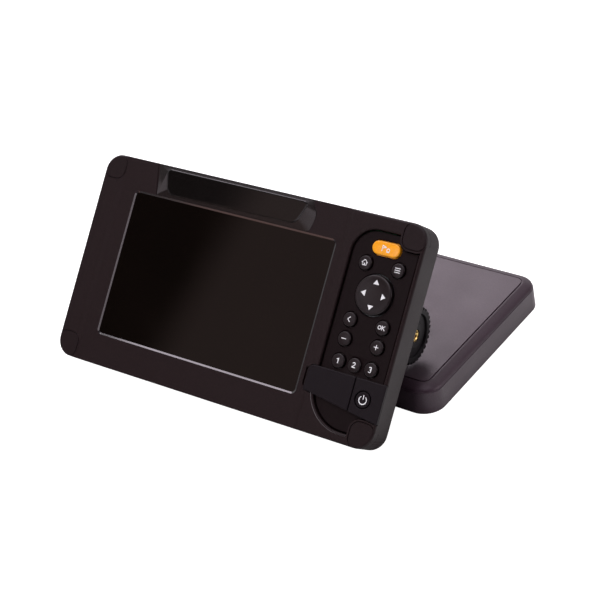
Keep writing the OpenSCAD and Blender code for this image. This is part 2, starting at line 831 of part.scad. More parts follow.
// Plate on the processor, with a row of upright fins.
module heat_spreader() {
    base_y = main_back + chip_t;
    base_t = 2;
    base_w = 60;
    base_h = 44;
    fin_t = 1.6;
    fin_h = 42;
    fin_out = 8;
    fin_pitch = 8;
    color([0.78, 0.79, 0.8]) lean() {
        layer(base_y, base_y + base_t) translate([0, chip_z]) square([base_w, base_h], center = true);
        for (k = [-3 : 3]) layer(base_y + base_t / 2, base_y + base_t + fin_out)
            translate([k * fin_pitch, chip_z]) square([fin_t, fin_h], center = true);
    }
}

module sonar_shield() {
    can_w = 46;
    can_h = 40;
    can_d = 5;
    sheet = 0.5;
    color([0.8, 0.8, 0.82]) lean() translate([-58, 0, 88]) difference() {
        layer(main_back, main_back + can_d) square([can_w, can_h], center = true);
        layer(main_back - over, main_back + can_d - sheet)
            square([can_w - 2 * sheet, can_h - 2 * sheet], center = true);
    }
}

module gps_antenna() {
    patch_w = 25;
    patch_t = 4.5;
    color([0.82, 0.78, 0.68]) lean() layer(main_back, main_back + patch_t)
        translate([62, 100]) square(patch_w, center = true);
}

module buzzer() {
    buzzer_r = 6;
    buzzer_t = 4;
    color([0.08, 0.08, 0.08]) lean() rod(62, 72, buzzer_r, main_back, main_back + buzzer_t);
}

// Flat ribbons join the screen and the keypad to the main board.
module ribbon(x, z, w, y0) {
    ribbon_t = 0.3;
    color([0.75, 0.5, 0.15]) lean() layer(y0, main_y) translate([x, z]) square([w, ribbon_t], center = true);
}
module screen_ribbon() { ribbon(-20, 70, 30, frame_back + frame_t); }
module keypad_ribbon() { ribbon(84, 90, 12, board_y + board_t); }

module vent_plug() {
    vent_head_r = 4.6;
    vent_head_t = 1.6;
    color([0.1, 0.1, 0.1]) lean() {
        rod(0, vent_z, vent_r, tub_back - tub_wall, tub_back);
        rod(0, vent_z, vent_head_r, tub_back, tub_back + vent_head_t);
    }
}

// Round panel connector: flange, threaded collar, and an insulator standing in an open ring.
module connector(x) {
    collar_r = plug_r - 1.8;
    core_r = 4.6;
    neck = 3;
    lean() difference() {
        union() {
            rod(x, plug_z, plug_r, tub_back - tub_wall - neck, tub_back + plug_out);
            rod(x, plug_z, plug_flange_r, tub_back, tub_back + plug_flange_t);
        }
        difference() {
            rod(x, plug_z, collar_r, tub_back + 1, tub_back + plug_out + over);
            rod(x, plug_z, core_r, tub_back, tub_back + plug_out - 1);
        }
        for (p = pin_places) rod(x + p[0], plug_z + p[1], pin_r, tub_back + 1, tub_back + plug_out);
    }
}

module power_connector() { color([0.07, 0.07, 0.07]) connector(power_plug_x); }
module transducer_connector() { color([0.07, 0.07, 0.07]) connector(sonar_plug_x); }

module connector_pins() {
    color([0.85, 0.7, 0.3]) lean() for (x = [power_plug_x, sonar_plug_x], p = pin_places)
        rod(x + p[0], plug_z + p[1], pin_r, tub_back + 1, tub_back + plug_out - 2);
}

// Toothed disc on each side, which a bracket's matching disc locks into.
module hub(side) {
    root = hub_r - tooth_h;
    tooth_half = 180 / hub_teeth;
    ring_d = 1.6;
    color([0.1, 0.1, 0.1]) lean() difference() {
        translate([side * (hub_face - hub_t), hub_y, hub_z]) rotate([0, side * 90, 0])
            linear_extrude(height = hub_t) polygon([for (i = [0 : hub_teeth - 1], k = [0, 1])
                let (a = (i + k / 2) * 2 * tooth_half, r = k == 0 ? hub_r : root) [r * cos(a), r * sin(a)]]);
        hub_rod(side, insert_r, hub_face - hub_t - over, hub_face + over);
        difference() {
            hub_rod(side, root - 2.6, hub_face - ring_d, hub_face + over);
            hub_rod(side, insert_r + 3.8, hub_face - 2 * ring_d, hub_face + 2 * over);
        }
    }
}
module hub_left() { hub(-1); }
module hub_right() { hub(1); }

// Blind threaded insert in the middle of a hub.
module insert(side) {
    end_t = 1.5;
    color([0.8, 0.62, 0.25]) lean() difference() {
        hub_rod(side, insert_r, hub_face - insert_l, hub_face);
        hub_rod(side, insert_bore, hub_face - insert_l + end_t, hub_face + over);
    }
}
module insert_left() { insert(-1); }
module insert_right() { insert(1); }

// ---- sun cover ----

// Block with leaning walls and a rounded upper edge, drawn in by g on the sides and top.
module cover_form(g, lean_in, edge) {
    w = cover_w - 2 * g;
    l = cover_l - 2 * g;
    h = cover_h - g;
    intersection() {
        linear_extrude(height = h) rounded(w, l, cover_r - g);
        translate([0, l / 2, 0]) rotate([90, 0, 0]) linear_extrude(height = l)
            cover_section(w, h, lean_in, edge);
        translate([-w / 2, 0, 0]) rotate([90, 0, 90]) linear_extrude(height = w)
            cover_section(l, h, lean_in, edge);
    }
}

// Cross-section of the cover: leaning sides and rounded upper corners.
module cover_section(w, h, lean_in, edge) {
    top = w / 2 - lean_in;
    polygon([[-w / 2, 0], [w / 2, 0], [top, h - edge], [-top, h - edge]]);
    translate([-top + edge, 0]) square([2 * (top - edge), h]);
    for (x = [-1, 1]) translate([x * (top - edge), h - edge]) circle(r = edge);
}

module sun_cover() {
    groove_in = 9;
    groove_w = 0.8;
    groove_d = 0.6;
    color([0.3, 0.27, 0.3]) translate([cover_x - middle_x, cover_y - middle_y, 0])
        rotate([0, 0, cover_yaw]) difference() {
            cover_form(0, cover_draft, cover_edge_r);
            translate([0, 0, -over]) cover_form(cover_wall, 0, 1);
            translate([0, 0, cover_h - groove_d]) linear_extrude(height = over) difference() {
                rounded(cover_w - 2 * groove_in, cover_l - 2 * groove_in, cover_r - groove_in / 2);
                rounded(cover_w - 2 * groove_in - 2 * groove_w, cover_l - 2 * groove_in - 2 * groove_w,
                    cover_r - groove_in / 2 - groove_w);
            }
        }
}

front_bezel();
screen_glass();
glass_gasket();
lcd_panel();
backlight();
lcd_frame();
badge_trim();
badge_plate();
keypad_panel();
waypoint_key();
home_key();
menu_key();
direction_pad();
pad_rocker();
back_key();
accept_key();
zoom_out_key();
zoom_in_key();
key_1();
key_2();
key_3();
power_pad();
power_key();
card_door();
key_mat();
dome_switches();
key_board();
keypad_screws();
card_reader();
cap_top_left();
cap_top_right();
cap_bottom_left();
cap_bottom_right();
rear_housing();
housing_seal();
housing_screws();
main_board();
board_screws();
processor();
heat_spreader();
sonar_shield();
gps_antenna();
buzzer();
screen_ribbon();
keypad_ribbon();
vent_plug();
power_connector();
transducer_connector();
connector_pins();
hub_left();
hub_right();
insert_left();
insert_right();
sun_cover();
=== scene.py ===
"""Looks for a chartplotter display that leans back on its own sun cover.

Pieces are drawn in the display's own frame, in millimetres: X across the front, Y from the front face
to the back, Z up the front face. place_display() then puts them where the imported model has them.
"""
import json
from math import atan2, cos, pi, radians, sin, sqrt

import bmesh
import bpy
from mathutils import Euler, Matrix, Vector


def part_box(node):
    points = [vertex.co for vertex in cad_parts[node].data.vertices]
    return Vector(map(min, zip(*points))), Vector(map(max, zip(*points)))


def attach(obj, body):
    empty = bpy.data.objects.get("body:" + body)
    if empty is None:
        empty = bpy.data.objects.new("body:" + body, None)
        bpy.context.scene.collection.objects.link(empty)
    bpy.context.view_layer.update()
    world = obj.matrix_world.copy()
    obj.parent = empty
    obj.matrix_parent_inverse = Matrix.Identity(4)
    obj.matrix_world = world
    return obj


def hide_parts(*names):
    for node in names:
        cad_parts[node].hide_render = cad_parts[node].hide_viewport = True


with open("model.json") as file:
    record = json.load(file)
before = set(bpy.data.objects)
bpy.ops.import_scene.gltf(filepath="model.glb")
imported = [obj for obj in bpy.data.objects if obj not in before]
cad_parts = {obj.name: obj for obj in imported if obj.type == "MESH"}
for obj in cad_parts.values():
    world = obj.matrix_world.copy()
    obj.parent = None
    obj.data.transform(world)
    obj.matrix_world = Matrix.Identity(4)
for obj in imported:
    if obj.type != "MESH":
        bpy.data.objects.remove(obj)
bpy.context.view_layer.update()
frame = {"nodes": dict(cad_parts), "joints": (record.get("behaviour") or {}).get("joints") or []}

MM = 0.001

# ---- the display's frame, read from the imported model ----

joints = {j["name"]: j for j in frame["joints"]}
depth_axis = Vector(joints["home_key_press"]["axis"])
across_axis = Vector((1, 0, 0))
rise_axis = across_axis.cross(depth_axis)
turn = Matrix((across_axis, depth_axis, rise_axis)).transposed()


def display_box(node, offset=Vector((0, 0, 0))):
    """Lowest and highest corners of a CAD node in the display's frame, in millimetres."""
    points = [turn.transposed() @ v.co / MM - offset for v in frame["nodes"][node].data.vertices]
    low = Vector([min(p[i] for p in points) for i in range(3)])
    high = Vector([max(p[i] for p in points) for i in range(3)])
    return low, high


def origin_of_display():
    """The bezel's lower edge, middle, front face."""
    low, high = display_box("front_bezel")
    return Vector(((low.x + high.x) / 2, low.y, low.z))


origin = origin_of_display()
place_display = turn.to_4x4() @ Matrix.Scale(MM, 4) @ Matrix.Translation(origin)


def local(node):
    return display_box(node, origin)


def centre(node):
    low, high = local(node)
    return (low + high) / 2


# ---- sizes that the Blender pieces share with the CAD ----

BEZEL_LOW, BEZEL_HIGH = local("front_bezel")
BODY_W = BEZEL_HIGH.x - BEZEL_LOW.x
BODY_H = BEZEL_HIGH.z
BODY_D = BEZEL_HIGH.y
RIGHT = BODY_W / 2
CORNER_R = 12
FRONT_R = 1.8
BACK_R = 1.5
FACE_T = 3.2
WALL = 2.6
GAP = 0.2
DISH = 0.8
PANEL_Y = 1.8
PANEL_T = 2
KEY_GAP = 0.6
GLASS_LAP = 3.4
BEVEL_W = 1.15
PANEL_FLARE = 1.1
FAR = 40


# ---- outlines: functions of how far they are grown ----

def outline(corners, steps=7):
    """Convex outline from (x, z, radius) corners, counter-clockwise. Returns a function of the growth."""
    arcs = []
    for i, (x, z, r) in enumerate(corners):
        p = Vector((x, z))
        back = (Vector(corners[i - 1][:2]) - p).normalized()
        ahead = (Vector(corners[(i + 1) % len(corners)][:2]) - p).normalized()
        middle = p + (back + ahead).normalized() * (r / sin(back.angle(ahead) / 2))
        start = atan2(back.x, -back.y)
        end = atan2(-ahead.x, ahead.y)
        if end < start:
            end += 2 * pi
        arcs.append((middle, r, start, end))

    def grown(g):
        points = []
        for middle, r, start, end in arcs:
            for k in range(steps + 1):
                a = start + (end - start) * k / steps
                points.append((middle.x + (r + g) * cos(a), middle.y + (r + g) * sin(a)))
        return points
    return grown


def box_outline(x0, x1, z0, z1, r, steps=7):
    return outline([(x0, z0, r), (x1, z0, r), (x1, z1, r), (x0, z1, r)], steps)


def disc(x, z, r, steps=64):
    return lambda g: [(x + (r + g) * cos(2 * pi * k / steps), z + (r + g) * sin(2 * pi * k / steps))
                      for k in range(steps)]


def rounding(r, y, inward=0, steps=5):
    """Profile points that round an edge from the face at depth y down the side."""
    return [(-inward - r * (1 - sin(pi / 2 * k / steps)), y + r * (1 - cos(pi / 2 * k / steps)))
            for k in range(steps + 1)]


def flare(r, y, steps=4):
    """Profile points of a hole's rounded mouth in a face at depth y."""
    return [(r * (1 - sin(pi / 2 * k / steps)), y + r * (1 - cos(pi / 2 * k / steps)))
            for k in range(steps + 1)]


# ---- meshes ----

def make_object(name, verts, faces, place=place_display):
    mesh = bpy.data.meshes.new(name)
    mesh.from_pydata([place @ Vector(v) for v in verts], [], faces)
    mesh.validate()
    obj = bpy.data.objects.new(name, mesh)
    bpy.context.scene.collection.objects.link(obj)
    outward(obj)
    return obj


def outward(obj):
    """Makes all faces look outward."""
    bm = bmesh.new()
    bm.from_mesh(obj.data)
    bmesh.ops.recalc_face_normals(bm, faces=bm.faces)
    bm.to_mesh(obj.data)
    bm.free()


def loft(name, rings, place=place_display, closed=False):
    """Closed skin through rings of equal counts, with flat ends, or joined into a ring when closed."""
    count = len(rings[0])
    verts = [p for ring in rings for p in ring]
    faces = []
    spans = len(rings) if closed else len(rings) - 1
    for i in range(spans):
        a, b = i * count, ((i + 1) % len(rings)) * count
        faces += [(a + k, a + (k + 1) % count, b + (k + 1) % count, b + k) for k in range(count)]
    if not closed:
        faces.append(tuple(range(count)))
        faces.append(tuple(range((len(rings) - 1) * count, len(rings) * count)))
    return make_object(name, verts, faces, place)


def stack(name, shape, profile, place=place_display, closed=False):
    """Solid whose outline is shape grown by each profile point's first value, at the depth of its second."""
    rings = [[(x, y, z) for x, z in shape(g)] for g, y in profile]
    return loft(name, rings, place, closed)


def prism(name, section, z0, z1, place=place_display):
    """A closed (x, depth) section stretched from height z0 to z1."""
    return loft(name, [[(x, y, z) for x, y in section] for z in (z0, z1)], place)


def combine(target, tool, how):
    modifier = target.modifiers.new("cut", "BOOLEAN")
    modifier.operation = how
    modifier.solver = "EXACT"
    modifier.object = tool
    bpy.context.view_layer.objects.active = target
    bpy.ops.object.modifier_apply(modifier=modifier.name)
    bpy.data.objects.remove(tool)


def cut(target, *tools):
    for tool in tools:
        combine(target, tool, "DIFFERENCE")
    return target


def smooth(obj, angle=32):
    """Smooth shading that keeps edges sharper than the angle, and flat faces flat."""
    obj.data.shade_smooth()
    obj.data.set_sharp_from_angle(angle=radians(angle))
    modifier = obj.modifiers.new("normals", "WEIGHTED_NORMAL")
    modifier.keep_sharp = True
    modifier.weight = 100
    return obj


def finish(obj, material, body, slot, *nodes, angle=32):
    """Smooths a piece, gives it its material and body, and hides the CAD nodes it stands for."""
    smooth(obj, angle)
    obj.data.materials.clear()
    obj.data.materials.append(material)
    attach(obj, body)
    if nodes:
        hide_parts(*nodes)
    return obj


# ---- materials ----

def new_material(name):
    material = bpy.data.materials.new(name)
    material.use_nodes = True
    return material, material.node_tree.nodes, material.node_tree.links


def noise(nodes, links, coords, scale, detail=3, roughness=0.6):
    node = nodes.new("ShaderNodeTexNoise")
    node.inputs["Scale"].default_value = scale
    node.inputs["Detail"].default_value = detail
    node.inputs["Roughness"].default_value = roughness
    links.new(coords, node.inputs["Vector"])
    return node.outputs["Fac"]


def ramp(nodes, links, value, low, high, start, end):
    """Maps a value between two positions onto two colours or greys."""
    node = nodes.new("ShaderNodeValToRGB")
    node.color_ramp.elements[0].position = low
    node.color_ramp.elements[1].position = high
    node.color_ramp.elements[0].color = start
    node.color_ramp.elements[1].color = end
    links.new(value, node.inputs["Fac"])
    return node.outputs["Color"]


def grey(v):
    return (v, v, v, 1)


def tint(color, factor):
    return (color[0] * factor, color[1] * factor, color[2] * factor, 1)


def surface(name, color, rough=0.5, grain=1400, bump=0.03, mottle=0.25, wear=0.08, metallic=0.0,
            specular=0.5, coat=0.0, coat_rough=0.1):
    """Plastic, rubber or metal with a fine grain, mottled colour and uneven gloss.

    bump is the grain's height in millimetres, mottle the colour's spread, wear the roughness's spread.
    """
    material, nodes, links = new_material(name)
    shader = nodes["Principled BSDF"]
    coords = nodes.new("ShaderNodeTexCoord").outputs["Object"]
    fine = noise(nodes, links, coords, grain, 4)
    broad = noise(nodes, links, coords, 26, 3)
    links.new(ramp(nodes, links, fine, 0.3, 0.7, tint(color, 1 - mottle), tint(color, 1 + mottle)),
              shader.inputs["Base Color"])
    links.new(ramp(nodes, links, broad, 0.25, 0.75, grey(rough - wear), grey(rough + wear)),
              shader.inputs["Roughness"])
    node = nodes.new("ShaderNodeBump")
    node.inputs["Strength"].default_value = 1.0
    node.inputs["Distance"].default_value = bump * MM
    links.new(fine, node.inputs["Height"])
    links.new(node.outputs["Normal"], shader.inputs["Normal"])
    shader.inputs["Metallic"].default_value = metallic
    shader.inputs["Specular IOR Level"].default_value = specular
    shader.inputs["Coat Weight"].default_value = coat
    shader.inputs["Coat Roughness"].default_value = coat_rough
    return material


def glass(name, color):
    """Bonded display glass: near black, polished, with faint smudges."""
    material, nodes, links = new_material(name)
    shader = nodes["Principled BSDF"]
    coords = nodes.new("ShaderNodeTexCoord").outputs["Object"]
    broad = noise(nodes, links, coords, 18, 4)
    links.new(ramp(nodes, links, broad, 0.3, 0.8, tint(color, 0.8), tint(color, 1.3)),
              shader.inputs["Base Color"])
    links.new(ramp(nodes, links, broad, 0.35, 0.8, grey(0.045), grey(0.09)), shader.inputs["Roughness"])
    return material


SHELL = surface("shell", (0.0105, 0.0048, 0.0054), 0.5, 1300, 0.05, 0.35, 0.05, specular=0.28)
PANEL = surface("panel", (0.0060, 0.0028, 0.0032), 0.55, 1500, 0.05, 0.35, 0.05, specular=0.17)
CAP = surface("cap", (0.0095, 0.0044, 0.0050), 0.48, 1300, 0.045, 0.3, 0.05, specular=0.28)
KEY = surface("key", (0.0080, 0.0042, 0.0050), 0.36, 1500, 0.012, 0.2, 0.06, specular=0.5)
SOFT = surface("soft_touch", (0.0062, 0.0038, 0.0056), 0.5, 1700, 0.02, 0.25, 0.06, specular=0.25)
POLISH = surface("polish", (0.012, 0.008, 0.010), 0.14, 500, 0.0006, 0.2, 0.03, specular=1.0, coat=1.0,
                 coat_rough=0.08)
TRIM = surface("trim", (0.010, 0.007, 0.007), 0.2, 500, 0.0006, 0.2, 0.04, specular=0.5,
               coat=0.2, coat_rough=0.1)
GLOSS = surface("gloss", (0.0035, 0.003, 0.003), 0.09, 500, 0.0006, 0.2, 0.03, specular=0.5,
                coat=0.3, coat_rough=0.04)
ORANGE = surface("orange_key", (0.92, 0.36, 0.008), 0.24, 900, 0.004, 0.08, 0.05, coat=0.5,
                 coat_rough=0.08)
LEGEND = surface("legend", (0.78, 0.78, 0.80), 0.5, 2000, 0.004, 0.04, 0.05)
COVER = surface("cover", (0.040, 0.023, 0.034), 0.42, 1150, 0.06, 0.22, 0.05, specular=0.4)
TUB = surface("tub", (0.014, 0.0075, 0.0085), 0.55, 1200, 0.05, 0.35, 0.06, specular=0.4)
RUBBER = surface("rubber", (0.010, 0.010, 0.010), 0.7, 1400, 0.03, 0.25, 0.08, specular=0.3)
HUB = surface("hub", (0.004, 0.003, 0.004), 0.5, 1300, 0.02, 0.25, 0.08, specular=0.25)
BRASS = surface("brass", (0.72, 0.50, 0.17), 0.26, 900, 0.006, 0.12, 0.08, metallic=1.0)
STEEL = surface("steel", (0.55, 0.55, 0.57), 0.3, 900, 0.006, 0.1, 0.08, metallic=1.0)
SHEET = surface("sheet_metal", (0.62, 0.62, 0.64), 0.38, 700, 0.008, 0.1, 0.08, metallic=1.0)
BOARD = surface("board", (0.015, 0.085, 0.035), 0.42, 900, 0.02, 0.3, 0.08)
CHIP = surface("chip", (0.018, 0.018, 0.019), 0.5, 1500, 0.01, 0.2, 0.05)
CERAMIC = surface("ceramic", (0.62, 0.52, 0.38), 0.6, 1200, 0.01, 0.12, 0.05)
SILICONE = surface("silicone", (0.16, 0.16, 0.175), 0.55, 900, 0.01, 0.12, 0.05)
DIFFUSER = surface("diffuser", (0.80, 0.80, 0.76), 0.6, 900, 0.01, 0.05, 0.05)
RIBBON = surface("ribbon", (0.62, 0.30, 0.05), 0.35, 700, 0.006, 0.15, 0.06)
GLASS = glass("display_glass", (0.0020, 0.0012, 0.0008))


# ---- front bezel ----

GRIP_W = 13
SLOPE_W = 6.5
RIGHT_SLOPE = 197
face_shape = box_outline(-RIGHT, RIGHT, 0, BODY_H, CORNER_R, 10)
glass_low, glass_high = local("screen_glass")
window = box_outline(glass_low.x + GLASS_LAP, glass_high.x - GLASS_LAP, glass_low.z + GLASS_LAP,
                     glass_high.z - GLASS_LAP, 2.5)
pad_centre = centre("direction_pad")
PANEL_LEFT = RIGHT - 50.4
PANEL_RIGHT = RIGHT - 3
PANEL_LOW = 7
PANEL_TOP = 135.5
PANEL_SWEEP_R = 26
PANEL_SHOULDER_R = 16
panel_shape = outline([(PANEL_LEFT, PANEL_LOW, PANEL_SWEEP_R), (PANEL_RIGHT, PANEL_LOW, 1.5),
                       (PANEL_RIGHT, PANEL_TOP, 1.5), (PANEL_LEFT, PANEL_TOP, PANEL_SHOULDER_R)], 12)
CAP_R = 6


def cap_shape(node):
    low, high = local(node)
    return box_outline(low.x, high.x, low.z, high.z, CAP_R)


CAPS = ["cap_top_left", "cap_top_right", "cap_bottom_left", "cap_bottom_right"]


def skin(name):
    """The bezel's outer skin: rounded outline, rounded front and back edges."""
    profile = rounding(FRONT_R, 0)
    profile += [(-BACK_R * (1 - cos(pi / 2 * k / 3)), BODY_D - BACK_R * (1 - sin(pi / 2 * k / 3)))
                for k in range(4)]
    return stack(name, face_shape, profile)


def face_dish(name):
    """What the middle of the face loses between the two raised ends."""
    x0 = -RIGHT + GRIP_W
    x1 = -RIGHT + RIGHT_SLOPE
    steps = 8
    section = [(x0 - 1, -2), (x0 - 1, -0.001)]
    for k in range(steps + 1):
        t = k / steps
        section.append((x0 + SLOPE_W * t, DISH * (1 - cos(pi * t)) / 2))
    for k in range(steps + 1):
        t = k / steps
        section.append((x1 + SLOPE_W * t, DISH * (1 + cos(pi * t)) / 2))
    section += [(x1 + SLOPE_W + 1, -0.001), (x1 + SLOPE_W + 1, -2)]
    return prism(name, section, -5, BODY_H + 5)


def door_corners(x0, x1, tab):
    """Corners of the part of the door's outline from x0 to x1. tab is the left end's radius."""
    door_left = local("card_door")[0].x
    top = local("card_door")[1].z
    low_left = 26
    low_right = 17.6
    slope = (low_left - low_right) / (RIGHT - door_left)
    low0 = low_left - slope * (x0 - door_left)
    low1 = low_left - slope * (x1 - door_left)
    return [(x0, low0, 0.8), (x1, low1, 0.8), (x1, top, 0.8), (x0, top, tab)]


door_low, door_high = local("card_door")
hinge_x = (door_high.x + local("power_pad")[0].x) / 2
door_shape = outline(door_corners(door_low.x, hinge_x - GAP, 4))
pad_shape = outline(door_corners(hinge_x + GAP, RIGHT, 0.8))
seat_shape = outline(door_corners(door_low.x, RIGHT + FAR, 4))
trim_low, trim_high = local("badge_trim")
TRIM_LEAN = 3.2
DOOR_T = 1.7


def trim_outline(top, lean):
    """Trim over the window, whose left end leans and whose right end bulges."""
    return outline([(trim_low.x + TRIM_LEAN, trim_low.z, 1.2), (trim_high.x - 2.6, trim_low.z, 4),
                    (trim_high.x, trim_low.z + 12, 9), (trim_high.x - 5.4 * lean, top, 0.6),
                    (trim_low.x + TRIM_LEAN * (1 - lean), top, 0.6)])


trim_shape = trim_outline(BODY_H, 1)
trim_seat = trim_outline(BODY_H + FAR, 4.5)


def panel_opening(name, grow, profile):
    """The keypad panel's outline less the corner caps' posts."""
    tool = stack(name, lambda g: panel_shape(g + grow), profile)
    for node in ("cap_top_right", "cap_bottom_right"):
        cut(tool, stack("post", cap_shape(node), [(1.6 - grow, -5), (1.6 - grow, 10)]))
    return tool


def build_bezel():
    bezel = skin("bezel")
    cut(bezel, face_dish("dish"))
    cavity = box_outline(-RIGHT + WALL, RIGHT - WALL, WALL, BODY_H - WALL, CORNER_R - WALL)
    hollow = stack("hollow", cavity, [(0, FACE_T), (0, BODY_D + 2)])
    for node in CAPS:
        cut(hollow, stack("post", cap_shape(node), [(1.4, -5), (1.4, 30)]))
    cut(bezel, hollow)
    glass_y = glass_low.y
    cut(bezel, stack("window", window, [(BEVEL_W + 0.1, -1), (BEVEL_W + 0.1, DISH + 0.25),
                                        (0.15, glass_y - 0.02), (0, glass_y), (0, FACE_T + 1)]))
    cut(bezel, stack("glass_seat", window, [(GLASS_LAP + GAP, glass_y), (GLASS_LAP + GAP, FACE_T + 1)]))
    cut(bezel, panel_opening("opening", GAP, [(PANEL_FLARE, -1)] + flare(PANEL_FLARE, 0) + [(0, FACE_T + 1)]))
    cut(bezel, stack("trim_seat", trim_seat, [(0.1, -1), (0.1, 1.2)]))
    cut(bezel, stack("door_seat", seat_shape, [(0.7, -1), (GAP, 0.3), (GAP, PANEL_Y)]))
    finger = box_outline(door_low.x - 1.8, door_low.x + 3, 28, 41, 1.6)
    cut(bezel, stack("finger", finger, [(0.5, -1), (0.5, 0), (0, 0.5), (-0.3, 2.2), (-0.8, 2.4)]))
    for node in CAPS:
        cut(bezel, stack("seat", cap_shape(node), [(GAP + 0.25, -1), (GAP + 0.25, 0), (GAP, 0.25),
                                                   (GAP, 6 + GAP)]))
        middle = centre(node)
        cut(bezel, stack("hole", disc(middle.x, middle.z, 2.3, 24), [(0, 0), (0, BODY_D + 1)]))
    return finish(bezel, SHELL, "display", "black_shell", "front_bezel")


def build_bevel():
    """Polished slope around the window."""
    y = glass_low.y
    profile = [(BEVEL_W, DISH), (BEVEL_W, DISH + 0.15), (0.1, y - 0.02), (0, y - 0.02), (0, y - 0.12)]
    ring = stack("window_bevel", window, profile, closed=True)
    smooth(ring)
    ring.data.materials.append(POLISH)
    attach(ring, "display")


def build_sweep():
    """Polished fillet along the keypad's lower left edge, below the door."""
    profile = [(PANEL_FLARE + 0.7, -0.06), (PANEL_FLARE + 0.1, 0.02), (PANEL_FLARE * 0.55, 0.45),
               (GAP + 0.06, 1.0), (GAP + 0.06, 1.3), (PANEL_FLARE * 0.7, 0.8), (PANEL_FLARE + 0.7, 0.1)]
    ring = stack("keypad_sweep", panel_shape, profile, closed=True)
    region = box_outline(PANEL_LEFT - 4, RIGHT - 19, -10, 25.5, 0.5)
    combine(ring, stack("region", region, [(0, -2), (0, 5)]), "INTERSECT")
    smooth(ring)
    ring.data.materials.append(POLISH)
    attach(ring, "display")


def build_caps():
    for node in CAPS:
        cap = skin(node + "_shell")
        combine(cap, stack("cap_tool", cap_shape(node), [(-0.35, -1), (-0.35, 0.0), (0, 0.5), (0, 6)]),
                "INTERSECT")
        middle = centre(node)
        cut(cap, stack("pocket", disc(middle.x, middle.z, 4.5, 32), [(0, 2), (0, 7)]))
        finish(cap, CAP, "display", "black_shell", node)


def build_badge():
    """Glossy raised trim with broad bevels, and the blank plate let into it."""
    plate_low, plate_high = local("badge_plate")
    plate = outline([(plate_low.x + 5, plate_low.z, 7), (plate_high.x - 7, plate_low.z + 1, 7),
                     (plate_high.x, plate_high.z, 3), (plate_low.x, plate_high.z, 3)], 8)
    outer = trim_shape(-0.6)
    rings = [[(x, y, z) for x, z in trim_shape(g)] for g, y in
             [(-0.5, 1.2), (0, 1.12), (0, 1.0), (-0.2, 0.88), (-0.6, 0.8)]]
    rings.append([(x, 0.04, z) for x, z in inner_ring(outer, plate, 0.35)])
    rings.append([(x, 0.0, z) for x, z in inner_ring(outer, plate, 0.1)])
    trim = loft("name_trim", rings)
    combine(trim, skin("clip"), "INTERSECT")
    cut(trim, stack("recess", plate, [(0.1, -1), (0.1, 0.9)]))
    finish(trim, TRIM, "display", "gloss_black", "badge_trim", angle=20)
    profile = [(-0.5, 0.85), (0, 0.85), (0, 0.1), (-0.15, -0.12), (-0.45, -0.25), (-1.0, -0.32)]
    finish(stack("name_plate", plate, profile), GLOSS, "display", "gloss_black", "badge_plate")


def inner_ring(outer, shape, grow):
    """Points of shape's outline that face each point of an outer ring, nearest first."""
    target = shape(grow)
    dense = []
    for i, a in enumerate(target):
        b = target[(i + 1) % len(target)]
        dense += [(a[0] + (b[0] - a[0]) * k / 24, a[1] + (b[1] - a[1]) * k / 24) for k in range(24)]
    return [min(dense, key=lambda q: (q[0] - p[0]) ** 2 + (q[1] - p[1]) ** 2) for p in outer]


def key_hole(shape, gap=KEY_GAP):
    return stack("hole", lambda g: shape(g + gap), [(0.5, PANEL_Y - 1)] + flare(0.5, PANEL_Y)
                 + [(0, PANEL_Y + PANEL_T + 2)])


ROUND_KEYS = ["home_key", "menu_key", "back_key", "accept_key", "zoom_out_key", "zoom_in_key",
              "key_1", "key_2", "key_3"]
KEY_R = 4.6
KEY_SAG = 0.35
KEY_EDGE = 0.8
PAD_R = 12.9
# the pad's dish: distance from its middle, depth below its crown
PAD_DISH = [(0.3, 0.95), (3, 0.93), (5, 0.86), (7, 0.72), (9, 0.46), (10.2, 0.2), (11, 0.04), (11.5, 0)]
POWER_R = 5.2
waypoint_low, waypoint_high = local("waypoint_key")
waypoint_middle = (waypoint_low + waypoint_high) / 2
WAYPOINT_W = 20
WAYPOINT_H = 8.8
waypoint_shape = box_outline(waypoint_middle.x - WAYPOINT_W / 2, waypoint_middle.x + WAYPOINT_W / 2,
                             waypoint_middle.z - WAYPOINT_H / 2, waypoint_middle.z + WAYPOINT_H / 2,
                             WAYPOINT_H / 2 - 0.01, 12)


def build_panel():
    panel = panel_opening("keypad", -0.5, rounding(0.8, PANEL_Y) + [(0, PANEL_Y + PANEL_T)])
    for node in ROUND_KEYS:
        middle = centre(node)
        cut(panel, key_hole(disc(middle.x, middle.z, KEY_R)))
    cut(panel, key_hole(disc(pad_centre.x, pad_centre.z, PAD_R, 96), 0.8))
    cut(panel, key_hole(waypoint_shape))
    power = centre("power_key")
    cut(panel, key_hole(disc(power.x, power.z, POWER_R)))
    bay = centre("card_reader")
    cut(panel, stack("bay", box_outline(bay.x - 10.5, bay.x + 10.5, bay.z - 5.5, bay.z + 5.5, 1),
                     [(0, 0), (0, 6)]))
    return finish(panel, PANEL, "display", "keypad_plastic", "keypad_panel")


def crown_profile(r, crown, sag, edge, back, flange, steps=6):
    """Profile of a key: domed crown, rounded edge, straight side and a flange at the back."""
    inner = r - edge
    points = [(-r + inner * k / steps, crown + sag * (k / steps) ** 2) for k in range(1, steps + 1)]
    points[0] = (-r + inner * 0.12, crown)
    points += [(-edge * (1 - sin(pi / 2 * k / 5)), crown + sag + edge * (1 - cos(pi / 2 * k / 5)))
               for k in range(1, 6)]
    return points + [(0, back - 0.8), (flange, back - 0.8), (flange, back)]


def crown_height(r, crown, sag, edge, distance):
    return crown + sag * min(distance / (r - edge), 1) ** 2


